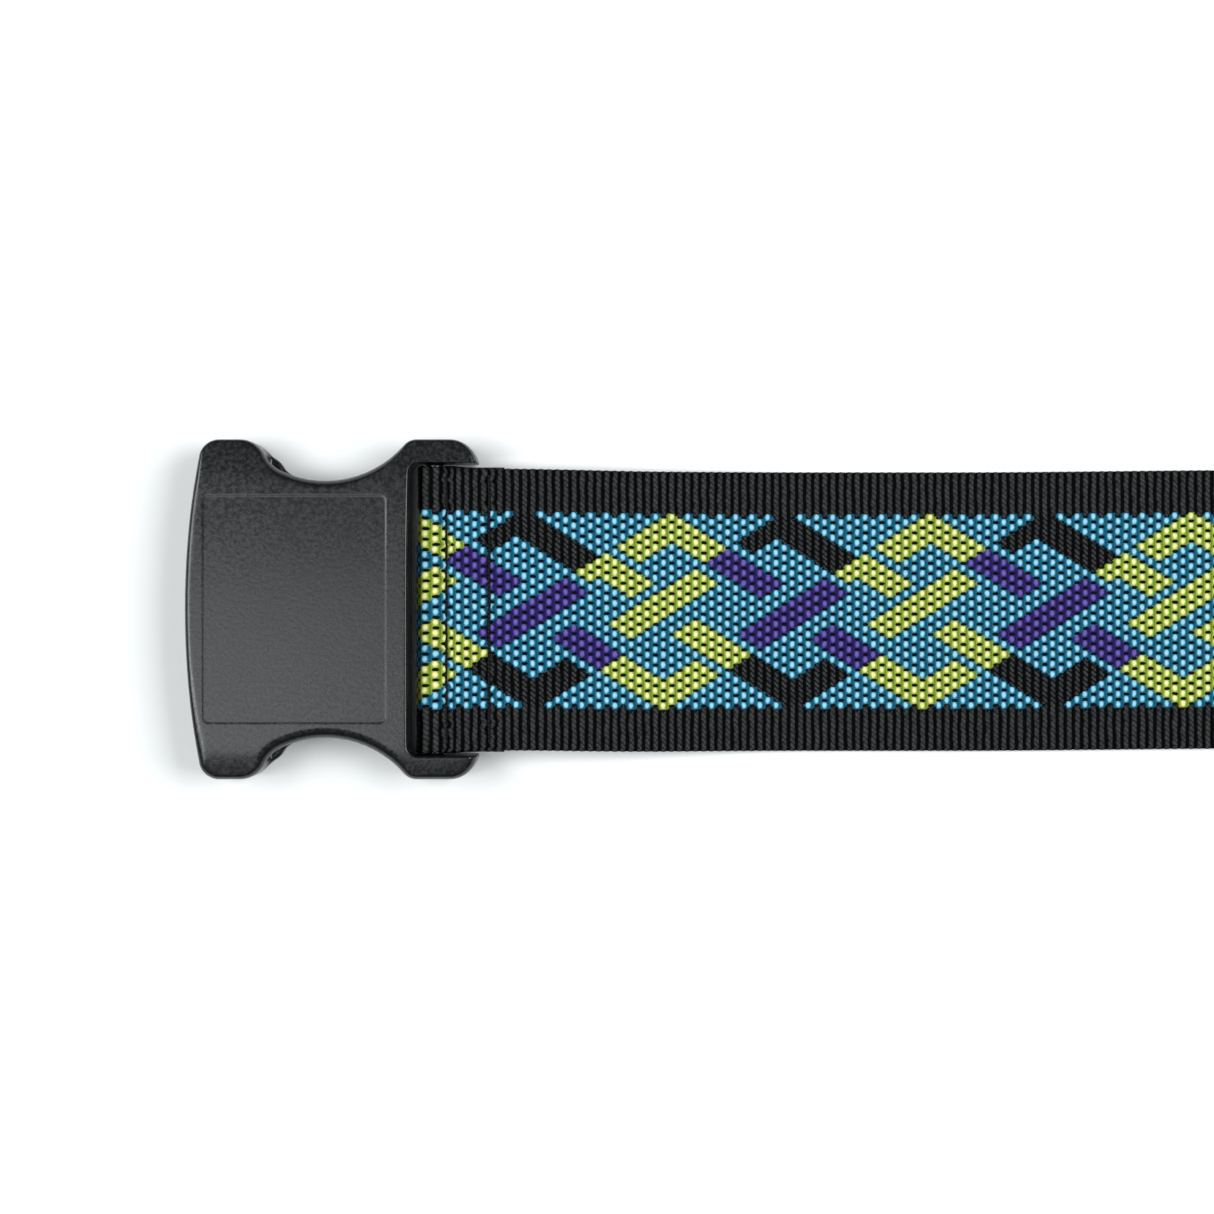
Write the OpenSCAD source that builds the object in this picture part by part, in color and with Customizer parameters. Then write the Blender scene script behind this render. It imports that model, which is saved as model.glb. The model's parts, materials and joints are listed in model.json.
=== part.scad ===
// Gait belt: 2 inch webbing with a side-release buckle. The receptacle lies at the left with the strap sewn
// to its bar. The rest of the strap is folded in half and rolled flat, and the plug lies on top of the roll.
// X runs along the belt, Y across it and Z up. The origin is the middle of the receptacle's underside.

/* [Webbing] */
// Width of the webbing
strap_w = 50.8; // [49:0.1:51.4]
// Thickness of the webbing
strap_t = 1.4; // [1.2:0.05:1.5]
// Gap between strands that move apart
strand_gap = 0.3; // [0.2:0.05:0.4]
// Diameter of the sewing thread
thread_d = 0.6; // [0.4:0.05:0.8]
// Distance between needle holes along a row of stitching
stitch_pitch = 3.2; // [2.8:0.1:4]

/* [Buckle] */
// Width over the side lobes of both halves
buckle_w = 60.8; // [60.6:0.1:62]
// Thickness of both halves
buckle_t = 12; // [11.6:0.1:12.8]
// Thickness of the receptacle's front and back plates
plate_t = 2.4; // [2:0.1:2.6]
// Radius of the rounded outer edges
edge_r = 2.2; // [1.4:0.1:2.4]
// Width of the opening that the webbing goes through
slot_w = 52.4; // [52:0.1:52.8]
// Radius of the curved mouth
mouth_r = 152; // [120:1:200]

/* [Receptacle] */
// Length from the mouth to the ends of the rear arms
shell_len = 52.3; // [52:0.1:54]
// Distance from the mouth to the webbing bar
bar_from_mouth = 44.3; // [44:0.1:45]
// Diameter of the webbing bar
bar_d = 3; // [2.6:0.1:3.2]
// Radial running clearance between the bar and the webbing loop
bar_clearance = 0.08; // [0.03:0.01:0.1]
// Distance from the mouth to the webbing slot
slot_from_mouth = 39.8; // [39:0.1:40]
// Depth of the cavity behind the mouth
cavity_len = 36.5; // [35:0.1:37]
// Length of the closed ring behind the mouth
ring_len = 14; // [13.4:0.1:14.4]
// Half width of the opening at the mouth
mouth_half_w = 24.6; // [24:0.1:25]
// Half width of the opening at the ring's rear edge, where the latch arms catch
catch_half_w = 22.2; // [22:0.1:22.4]

/* [Plug] */
// Distance from the middle bar to the shoulder that meets the mouth
shoulder_from_bar = 22; // [21:0.1:24]
// Thickness of the side rails beside the bars
rail_t = 8.2; // [8:0.1:9]
// Diameter of the middle bar
middle_bar_d = 3.8; // [3.4:0.1:4]
// Diameter of the outer bar
outer_bar_d = 3.4; // [3:0.1:3.6]
// Distance between the two bars
bar_spacing = 10; // [9.6:0.1:10.4]
// Length of the centre guide in front of the shoulder
guide_len = 30; // [24:0.5:32]
// Length of the latch arms in front of the shoulder
arm_len = 33; // [31:0.5:34]

/* [Strap layout] */
// Distance from the receptacle's bar to the end of the double sewn layer
tab_len = 12.5; // [12:0.1:16]
// Distance from the bar to where the strap lies on the table
descent_len = 70; // [50:1:90]
// Distance from the bar to the roll's left bend
roll_from_bar = 162; // [150:1:180]
// Length of the roll between its bends
roll_len = 174; // [168:1:180]
// Gap in the core of the roll
core_gap = 2.6; // [2.4:0.1:4]
// Distance from the plug's middle bar to the roll's right bend
plug_inset = 38; // [36:1:40]
// Length of the free tail, from the plug's outer bar to the hem's end
tail_len = 74; // [70:1:76]
// Length of the folded hem
hem_len = 12; // [10:0.5:14]

/* [Hidden] */
$fn = 64;

buckle_colour = "#3c3d3e";
strap_colour = "#2a7f98";
edge_colour = "#1b1b1c";

half_w = buckle_w / 2;
slot_half = slot_w / 2;
cut = 1;                  // how far a cutting shape runs past what it cuts
edge_steps = 4;           // rings round each rounded edge

// Receptacle, with distances from the mouth
mouth_x = -22;
bar_x = mouth_x + bar_from_mouth;
bar_z = buckle_t / 2;
corner_r = 3.5;           // front corners
lobe_r = 5;               // rear corners of the front lobes, and the ends of the arms
lobe_end = 9.7;           // where the lobe's straight side ends
notch_r = 18.6;           // long curve of the finger notch
notch_c = [25, half_w + 11.2];
heel_r = 3;               // corner between the notch and the rear arms
slot_corner_r = 1.8;
lead_in = 1.5;            // straight stretch just behind the mouth
post_len = 3.2;           // posts that join the plates behind the finger windows

// The short curve at the front of the notch touches both the lobe's corner and the notch's long curve
lobe_c = [lobe_end, half_w - lobe_r];
toe_angle = 26.5;
toe_dir = [cos(toe_angle), sin(toe_angle)];
toe_gap = lobe_c - notch_c;
toe_reach = ((notch_r + lobe_r) ^ 2 - toe_gap * toe_gap) / (2 * (notch_r + lobe_r + toe_dir * toe_gap));
toe_c = lobe_c + toe_reach * toe_dir;
toe_r = toe_reach - lobe_r;
toe_end = atan2(toe_c.y - notch_c.y, toe_c.x - notch_c.x) + 360;

// Heel of the notch
heel_c = [
    notch_c.x + sqrt((notch_r + heel_r) ^ 2 - (notch_c.y - half_w + heel_r) ^ 2),
    half_w - heel_r
];
heel_start = atan2(heel_c.y - notch_c.y, heel_c.x - notch_c.x);

// Webbing loop on the bar: a round bore that closes to a point at the first row of stitching
bore_r = bar_d / 2 + bar_clearance;
apex = 2.9;
apex_angle = acos(bore_r / apex);
loop_r = bore_r + strap_t;
flat_from = loop_r * cos(apex_angle) + (loop_r * sin(apex_angle) - strap_t) * tan(apex_angle);
outer_row = 9.8;          // second row of stitching, from the bar
thread_sink = 0.2;        // depth of the hem's thread in the webbing

// Roll: two pairs of strands at the bottom and one at the top
pair_t = 2 * strap_t + 0.1;
roll_t = 3 * pair_t + core_gap;
roll_x = bar_x + roll_from_bar;
roll_end = roll_x + roll_len;
top_z = roll_t + strand_gap;
lift_x = roll_x + 6;      // the top strand lifts off the roll here
root_len = 18;
rise_z = strap_t + 0.05;  // underside of the strand that turns up round the roll's left bend
rise_r = (top_z + strap_t - rise_z) / 2;

// Plug, with distances from its middle bar
plug_x = roll_end - plug_inset;
plug_z = top_z;
middle_bar_r = middle_bar_d / 2;
plug_bore_r = middle_bar_r + bar_clearance;
middle_bar_z = strap_t + plug_bore_r;
outer_bar_z = 2 * strap_t + 2 * strand_gap + outer_bar_d / 2;
loop_start = 13;          // the webbing loop's ends lie this far behind the middle bar
rail_end = bar_spacing + 3.8;
block_start = 8;          // the shoulder block's rear face
tail_z = strap_t + strand_gap;
leave_angle = 50;         // the webbing leaves the top of the middle bar at this slope
leave_r = 3;
shoulder_c = shoulder_from_bar - mouth_r;
mid_z = buckle_t / 2;
tongue_t = buckle_t - 2 * plate_t - 0.6;
guide_half = 6;
arm_pivot = [19, 17.4];
arm_root_r = 2.6;
arm_gap = 0.3;
squeeze_room = 1.4;       // room inside each arm's root for the squeeze
latch_from = shoulder_from_bar + ring_len + 0.2;
latch_y = 24.8;
shank_y = 21.6;

// Points of an arc
function arc(centre, r, from, to, steps = 8) =
    [for (i = [0:steps]) let(a = from + (to - from) * i / steps) centre + r * [cos(a), sin(a)]];

// The same outline below the line of symmetry, in reverse order
function mirrored(pts) = [for (i = [len(pts) - 1:-1:0]) [pts[i].x, -pts[i].y]];

// Direction along a path at one of its points
function along(pts, i) =
    let(d = pts[min(i + 1, len(pts) - 1)] - pts[max(i - 1, 0)]) d / norm(d);

// A path moved sideways
function beside(pts, d) =
    [for (i = [0:len(pts) - 1]) let(u = along(pts, i)) pts[i] + d * [-u.y, u.x]];

// Closed outline of a band of the given thickness along a path
function band(pts, t) =
    let(a = beside(pts, t / 2), b = beside(pts, -t / 2))
    concat(a, [for (i = [len(b) - 1:-1:0]) b[i]]);

// Half of the receptacle's outline, from the mouth to the arm's end, drawn in by inset
function shell_half(inset) = let(
    corner_y = half_w - corner_r,
    corner_x = mouth_r - sqrt((mouth_r - corner_r) ^ 2 - corner_y ^ 2),
    turn = asin(corner_y / (mouth_r - corner_r))
) concat(
    arc([mouth_r, 0], mouth_r - inset, 180, 180 - turn, 6),
    arc([corner_x, corner_y], corner_r - inset, 180 - turn, 90, 5),
    arc(lobe_c, lobe_r - inset, 90, toe_angle, 5),
    arc(toe_c, toe_r + inset, 180 + toe_angle, toe_end, 4),
    arc(notch_c, notch_r + inset, toe_end, 360 + heel_start, 8),
    arc(heel_c, heel_r - inset, 180 + heel_start, 90, 4),
    arc([shell_len - lobe_r, half_w - lobe_r], lobe_r - inset, 90, 0, 6)
);

// Half of the plug's outline, from the middle of its rear edge to the middle of its shoulder
function plug_half(inset) = let(
    corner_y = half_w - corner_r,
    corner_x = shoulder_c + sqrt((mouth_r + corner_r) ^ 2 - corner_y ^ 2) - 2 * corner_r,
    turn = asin(corner_y / mouth_r)
) concat(
    arc([lobe_r - rail_end, half_w - lobe_r], lobe_r - inset, 180, 90, 6),
    arc([corner_x, corner_y], corner_r - inset, 90, 0, 5),
    arc([shoulder_c, 0], mouth_r - inset, turn * 0.93, 0, 6)
);

// Solid with rounded top and bottom edges, skinned through one outline drawn in and out
module rounded_slab(rings, levels) {
    n = len(rings[0]);
    last = len(rings) - 1;
    pts = [for (k = [0:last], p = rings[k]) [p.x, p.y, levels[k]]];
    sides = [for (k = [0:last - 1], i = [0:n - 1]) let(j = (i + 1) % n)
        [k * n + i, k * n + j, (k + 1) * n + j, (k + 1) * n + i]];
    base = [[for (i = [n - 1:-1:0]) i]];
    top = [[for (i = [0:n - 1]) last * n + i]];
    polyhedron(pts, concat(sides, base, top), convexity = 6);
}

// Insets and heights of the rings for a slab of thickness t
function edge_insets() = [for (k = [0:edge_steps]) edge_r * (1 - sin(90 * k / edge_steps))];
function edge_levels() = [for (k = [0:edge_steps]) edge_r * (1 - cos(90 * k / edge_steps))];
function slab_insets() =
    let(e = edge_insets()) concat(e, [for (k = [edge_steps:-1:0]) e[k]]);
function slab_levels(t) =
    let(e = edge_levels()) concat(e, [for (k = [edge_steps:-1:0]) t - e[k]]);

// A profile drawn in X and Z, made w wide and centred on the belt
module across(w) {
    rotate([90, 0, 0])
        translate([0, 0, -w / 2])
            linear_extrude(w)
                children();
}

// A round bar across the belt
module cross_bar(x, z, r, w) {
    translate([x, w / 2, z])
        rotate([90, 0, 0])
            cylinder(r = r, h = w);
}

// A row of lock stitches: thread above and below the webbing, joined at each needle hole
module stitch_row(x, z_low, z_high) {
    holes = floor((strap_w - 2) / stitch_pitch);
    span = holes * stitch_pitch;
    r = thread_d / 2;
    cross_bar(x, z_high, r, span + thread_d);
    cross_bar(x, z_low, r, span + thread_d);
    for (i = [0:holes])
        translate([x, -span / 2 + i * stitch_pitch, z_low])
            cylinder(r = r * 0.8, h = z_high - z_low);
}

// Opening through the receptacle behind the mouth, narrowing to the catch edges, with a finger window each side
module cavity() {
    window_len = cavity_len - ring_len - post_len;
    translate([0, 0, plate_t])
        linear_extrude(buckle_t - 2 * plate_t) {
            polygon([
                [-cut, mouth_half_w], [lead_in, mouth_half_w], [ring_len, catch_half_w],
                [ring_len, -catch_half_w], [lead_in, -mouth_half_w], [-cut, -mouth_half_w]
            ]);
            translate([ring_len - cut, -catch_half_w])
                square([cavity_len - ring_len + cut, 2 * catch_half_w]);
            translate([ring_len, -half_w - cut])
                square([window_len, buckle_w + 2 * cut]);
        }
}

// Opening for the webbing in front of and behind the bar
module webbing_slot() {
    translate([slot_from_mouth, -slot_half, -cut])
        linear_extrude(buckle_t + 2 * cut) {
            translate([slot_corner_r, 0])
                square([shell_len, slot_w]);
            translate([0, slot_corner_r])
                square([shell_len, slot_w - 2 * slot_corner_r]);
            for (y = [slot_corner_r, slot_w - slot_corner_r])
                translate([slot_corner_r, y])
                    circle(slot_corner_r);
        }
}

module receptacle() {
    rings = [for (inset = slab_insets()) let(h = shell_half(inset)) concat(h, mirrored(h))];
    color(buckle_colour)
        translate([mouth_x, 0, 0]) {
            difference() {
                rounded_slab(rings, slab_levels(buckle_t));
                cavity();
                webbing_slot();
            }
            cross_bar(bar_from_mouth, bar_z, bar_d / 2, slot_w + 2);
        }
}

// Webbing round the receptacle's bar and its two sewn layers
module strap_anchor_loop() {
    mouth_angle = apex_angle - 4;
    wrap = arc([0, 0], loop_r, apex_angle, 360 - apex_angle, 24);
    mouth_end = bore_r * [cos(mouth_angle), sin(mouth_angle)];
    color(strap_colour)
        translate([bar_x, 0, bar_z])
            across(strap_w)
                difference() {
                    polygon(concat(
                        wrap,
                        [[flat_from, -strap_t], [tab_len, -strap_t], [tab_len, strap_t], [flat_from, strap_t]]
                    ));
                    circle(bore_r);
                    polygon([[0, 0], mouth_end, [apex, 0], [mouth_end.x, -mouth_end.y]]);
                }
}

module anchor_stitching_inner() {
    reach = strap_t + 0.35;
    color(edge_colour)
        stitch_row(bar_x + apex, bar_z - reach, bar_z + reach);
}

module anchor_stitching_outer() {
    reach = strap_t + thread_d * 0.2;
    color(edge_colour)
        stitch_row(bar_x + outer_row, bar_z - reach, bar_z + reach);
}

// Single layer from the sewn tab down to the table and along it to the roll
module strap_front_run() {
    steps = 24;
    x0 = bar_x + tab_len;
    x1 = bar_x + descent_len;
    fall = [for (i = [0:steps]) let(u = i / steps)
        [x0 + (x1 - x0) * u, bar_z * (1 + cos(180 * u)) / 2]];
    low = concat(fall, [[roll_x - roll_t / 2 - cut, 0]]);
    color(strap_colour)
        across(strap_w)
            polygon(concat(low, [for (i = [len(low) - 1:-1:0]) low[i] + [0, strap_t]]));
}

// The rolled length: its outer shape, with the strand that turns up round the left bend to the top
module strap_roll() {
    entry = roll_x - roll_t / 2 - cut;
    color(strap_colour)
        across(strap_w) {
            translate([roll_x, 0])
                square([roll_len, roll_t]);
            translate([roll_end, roll_t / 2])
                circle(roll_t / 2);
            translate([entry, 0])
                square([roll_x - entry, strap_t]);
            translate([roll_x, rise_z + rise_r])
                circle(rise_r);
            translate([roll_x, roll_t - cut])
                square([lift_x - roll_x, top_z + strap_t - roll_t + cut]);
        }
}

// First stretch of the strand on top of the roll, which bends up when the plug end is lifted
module strap_top_root() {
    color(strap_colour)
        translate([lift_x, -strap_w / 2, top_z])
            cube([root_len, strap_w, strap_t]);
}

// Strand from there to the plug, which gets shorter as the belt is tightened
module strap_plug_run() {
    color(strap_colour)
        translate([lift_x + root_len, -strap_w / 2, top_z])
            cube([plug_x - loop_start - lift_x - root_len, strap_w, strap_t]);
}

// Webbing under both bars of the plug, round the middle bar and back under the outer bar
module strap_plug_loop() {
    r = plug_bore_r + strap_t / 2;
    leave = [-r * sin(leave_angle), middle_bar_z + r * cos(leave_angle)];
    drop = leave.y - tail_z - strap_t / 2 - leave_r * (1 - cos(leave_angle));
    fillet_x = leave.x - drop / tan(leave_angle) - leave_r * sin(leave_angle);
    path = concat(
        [[-loop_start, strap_t / 2]],
        arc([0, middle_bar_z], r, -90, 90 + leave_angle, 20),
        arc([fillet_x, tail_z + strap_t / 2 + leave_r], leave_r, leave_angle - 90, -90, 5),
        [[-loop_start, tail_z + strap_t / 2]]
    );
    color(strap_colour)
        translate([plug_x, 0, plug_z])
            across(strap_w)
                polygon(band(path, strap_t));
}

// Draws its children on one side of the belt's middle line: 1 as drawn, -1 mirrored
module on_side(side) {
    mirror([0, side < 0 ? 1 : 0, 0])
        children();
}

// Room for one latch arm's root to turn in the shoulder block
module arm_pocket() {
    room_r = arm_root_r + arm_gap;
    translate([arm_pivot.x, arm_pivot.y, mid_z - tongue_t / 2 - arm_gap]) {
        cylinder(r = room_r, h = tongue_t + 2 * arm_gap);
        translate([0, -room_r - squeeze_room, 0])
            cube([shoulder_from_bar, 2 * room_r + squeeze_room, tongue_t + 2 * arm_gap]);
    }
}

module plug_frame() {
    rings = [for (inset = slab_insets()) let(h = plug_half(inset)) concat(h, mirrored(h))];
    color(buckle_colour)
        translate([plug_x, 0, plug_z]) {
            difference() {
                rounded_slab(rings, slab_levels(buckle_t));
                translate([-rail_end - cut, -slot_half, -cut])
                    cube([rail_end + block_start + cut, slot_w, buckle_t + 2 * cut]);
                translate([-rail_end - cut, -half_w - cut, rail_t])
                    cube([rail_end + block_start - 2, buckle_w + 2 * cut, buckle_t]);
                for (side = [-1, 1])
                    on_side(side)
                        arm_pocket();
            }
            cross_bar(0, middle_bar_z, middle_bar_r, slot_w + 2);
            cross_bar(-bar_spacing, outer_bar_z, outer_bar_d / 2, slot_w + 2);
            translate([block_start + 4, -guide_half, mid_z - tongue_t / 2])
                cube([shoulder_from_bar + guide_len - guide_half - block_start - 4, 2 * guide_half, tongue_t]);
            translate([shoulder_from_bar + guide_len - guide_half, 0, mid_z - tongue_t / 2])
                cylinder(r = guide_half, h = tongue_t);
        }
}

// One latch arm: a shank from the shoulder, a catch edge and a long curved finger pad
module latch_arm(side) {
    tip = shoulder_from_bar + arm_len;
    outline = concat(
        [[arm_pivot.x, arm_pivot.y + arm_root_r], [latch_from - 6, shank_y], [latch_from, shank_y]],
        arc([latch_from + 0.8, latch_y - 0.8], 0.8, 180, 90, 3),
        [[latch_from + 6, latch_y + 0.3]],
        arc([tip - 8, latch_y - 7.5], 6.5, 75, 0, 6),
        arc([tip - 4, 15.5], 2.5, 0, -90, 4),
        [[latch_from + 2, 14], [arm_pivot.x, arm_pivot.y - arm_root_r]]
    );
    color(buckle_colour)
        translate([plug_x, 0, plug_z + mid_z - tongue_t / 2])
            on_side(side) {
                translate([arm_pivot.x, arm_pivot.y])
                    cylinder(r = arm_root_r, h = tongue_t);
                linear_extrude(tongue_t)
                    polygon(outline);
            }
}

module plug_arm_upper() {
    latch_arm(1);
}

module plug_arm_lower() {
    latch_arm(-1);
}

// Free tail on top of the run, which gets longer as the belt is tightened
module strap_tail() {
    length = tail_len - hem_len - (loop_start - bar_spacing);
    color(strap_colour)
        translate([plug_x - loop_start - length, -strap_w / 2, plug_z + tail_z])
            cube([length, strap_w, strap_t]);
}

// End of the tail, folded over on itself
module tail_hem() {
    end_x = plug_x - bar_spacing - tail_len;
    color(strap_colour)
        across(strap_w) {
            translate([end_x + strap_t, plug_z + tail_z + strap_t])
                circle(strap_t);
            translate([end_x + strap_t, plug_z + tail_z])
                square([hem_len - strap_t, 2 * strap_t]);
        }
}

module hem_stitching() {
    x = plug_x - bar_spacing - tail_len + hem_len - 3;
    low = plug_z + tail_z + thread_sink;
    color(edge_colour)
        stitch_row(x, low, low + 2 * (strap_t - thread_sink));
}

receptacle();
strap_anchor_loop();
anchor_stitching_inner();
anchor_stitching_outer();
strap_front_run();
strap_roll();
strap_top_root();
strap_plug_run();
strap_plug_loop();
plug_frame();
plug_arm_upper();
plug_arm_lower();
strap_tail();
tail_hem();
hem_stitching();
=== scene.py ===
"""Gait belt: webbing with a woven zigzag pattern and a side-release buckle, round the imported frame."""

import json
from math import acos, asin, atan2, cos, degrees, pi, radians, sin, sqrt

import bpy
import numpy as np
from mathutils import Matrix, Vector


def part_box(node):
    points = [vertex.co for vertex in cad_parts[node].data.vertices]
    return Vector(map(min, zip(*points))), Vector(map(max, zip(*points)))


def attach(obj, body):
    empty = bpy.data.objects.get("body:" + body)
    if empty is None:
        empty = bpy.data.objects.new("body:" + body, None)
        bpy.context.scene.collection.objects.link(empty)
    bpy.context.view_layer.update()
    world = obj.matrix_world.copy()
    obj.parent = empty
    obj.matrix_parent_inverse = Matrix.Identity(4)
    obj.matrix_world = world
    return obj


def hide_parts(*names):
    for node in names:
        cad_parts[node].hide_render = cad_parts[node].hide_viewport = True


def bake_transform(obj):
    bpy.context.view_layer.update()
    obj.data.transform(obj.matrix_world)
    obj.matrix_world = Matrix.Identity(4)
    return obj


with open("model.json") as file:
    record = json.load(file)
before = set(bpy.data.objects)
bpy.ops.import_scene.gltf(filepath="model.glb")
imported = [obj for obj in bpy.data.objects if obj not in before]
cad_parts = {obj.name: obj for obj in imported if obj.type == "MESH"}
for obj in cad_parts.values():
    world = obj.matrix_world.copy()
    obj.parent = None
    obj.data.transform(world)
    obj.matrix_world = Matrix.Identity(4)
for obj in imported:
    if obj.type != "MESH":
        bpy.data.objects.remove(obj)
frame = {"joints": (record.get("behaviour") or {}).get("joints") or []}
for spare in ("Cube", "Light", "Camera"):
    if spare in bpy.data.objects:
        bpy.data.objects.remove(bpy.data.objects[spare], do_unlink=True)
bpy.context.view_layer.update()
scene = bpy.context.scene
MM = 0.001


# ---------------------------------------------------------------- places taken from the frame, in mm
def box_mm(node):
    lo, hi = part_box(node)
    return np.array(lo) / MM, np.array(hi) / MM


def middle_x(node):
    lo, hi = box_mm(node)
    return (lo[0] + hi[0]) / 2


shell_lo, shell_hi = box_mm("receptacle")
front_lo, front_hi = box_mm("strap_front_run")
run_lo, run_hi = box_mm("strap_plug_run")
hem_lo, hem_hi = box_mm("tail_hem")
joint_at = {j["name"]: np.array(j.get("pos_m") or (0, 0, 0)) / MM for j in frame["joints"]}

MOUTH_X = shell_lo[0]
BUCKLE_T = shell_hi[2]
HALF_W = shell_hi[1]
BAR_X, BAR_Z = joint_at["receptacle_pivot"][0], joint_at["receptacle_pivot"][2]
LIFT_X = joint_at["plug_end_lift"][0]
TAB_END = front_lo[0]
STRAP_W = front_hi[1] * 2
STRAP_T = run_hi[2] - run_lo[2]
TOP_Z = run_lo[2]
ROOT_END = run_lo[0]
LOOP_START = run_hi[0]
PLUG_X = LOOP_START + 13.0         # the plug's middle bar
ROLL_X = LIFT_X - 6.0              # the flat layers of the roll start here
ROLL_END = PLUG_X + 38.0           # and end here
HEM_START, HEM_END = hem_hi[0], hem_lo[0]
TAIL_Z = hem_lo[2]
INNER_ROW_SHIFT = -0.8             # the inner row lies nearer to the bar than in the exact solid
ROW_INNER = middle_x("anchor_stitching_inner") + INNER_ROW_SHIFT
ROW_OUTER = middle_x("anchor_stitching_outer")
ROW_HEM = middle_x("hem_stitching")

# Weave: ribs run across the belt, and each rib carries a dot of yarn every two half steps
RIB = 1.482                        # pitch of the ribs along the belt
STEP = 0.9236                      # half step across it
BAND = 19.0                        # the patterned band reaches this many half steps either side of the middle
REPEAT = 32                        # ribs in one repeat of the pattern


# ---------------------------------------------------------------- camera, floor and light
CAMERA_PLACE = (53.3 * MM, 0.41 * MM, 0.506)       # straight above the belt, looking down
FLOOR_HALF = 3.0
FLOOR_DROP = 0.00005                               # the floor lies just under the belt
LIGHT_COLOUR = (0.96, 1.0, 1.01)


def in_scene(name, data, material=None):
    if material:
        data.materials.append(material)
    o = bpy.data.objects.new(name, data)
    scene.collection.objects.link(o)
    return o


def build_stage():
    cam = bpy.data.cameras.new("camera")
    cam.lens = 82.3
    cam.sensor_width = 36
    cam.clip_start = 0.01
    scene.camera = in_scene("camera", cam)
    scene.camera.location = CAMERA_PLACE
    scene.view_settings.view_transform = "Standard"

    me = bpy.data.meshes.new("floor")
    r = FLOOR_HALF
    me.from_pydata([(-r, -r, 0), (r, -r, 0), (r, r, 0), (-r, r, 0)], [], [(0, 1, 2, 3)])
    floor = in_scene("floor", me)
    floor.location.z = -FLOOR_DROP
    m = bpy.data.materials.new("floor")
    m.use_nodes = True
    bsdf = m.node_tree.nodes["Principled BSDF"]
    bsdf.inputs["Base Color"].default_value = (0.97, 0.97, 0.97, 1)
    bsdf.inputs["Roughness"].default_value = 0.95
    bsdf.inputs["Specular IOR Level"].default_value = 0.1
    me.materials.append(m)

    def area(name, place, aim, size, watts):
        light = bpy.data.lights.new(name, "AREA")
        light.shape = "RECTANGLE"
        light.size, light.size_y = size
        light.energy = watts
        light.color = LIGHT_COLOUR
        o = in_scene(name, light)
        o.location = place
        o.rotation_euler = (Vector(aim) - Vector(place)).to_track_quat("-Z", "Y").to_euler()

    # the overhead light ends just past the belt's middle, so that the buckle's face brightens towards -Y,
    # and to the left of the slot, which stays dark
    area("light_above", (-0.375, -0.100, 1.0), (-0.375, -0.100, 0), (0.75, 0.25), 1.95)
    area("light_left", (-0.80, 0.12, 1.05), (0.08, 0, 0), (0.8, 0.8), 11.2)
    area("light_right", (0.90, 0.12, 1.05), (0.08, 0, 0), (0.8, 0.8), 13.2)
    world = bpy.data.worlds.new("world")
    world.use_nodes = True
    world.node_tree.nodes["Background"].inputs["Color"].default_value = (0.95, 0.97, 1.0, 1)
    world.node_tree.nodes["Background"].inputs["Strength"].default_value = 0.12
    scene.world = world


build_stage()


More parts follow.
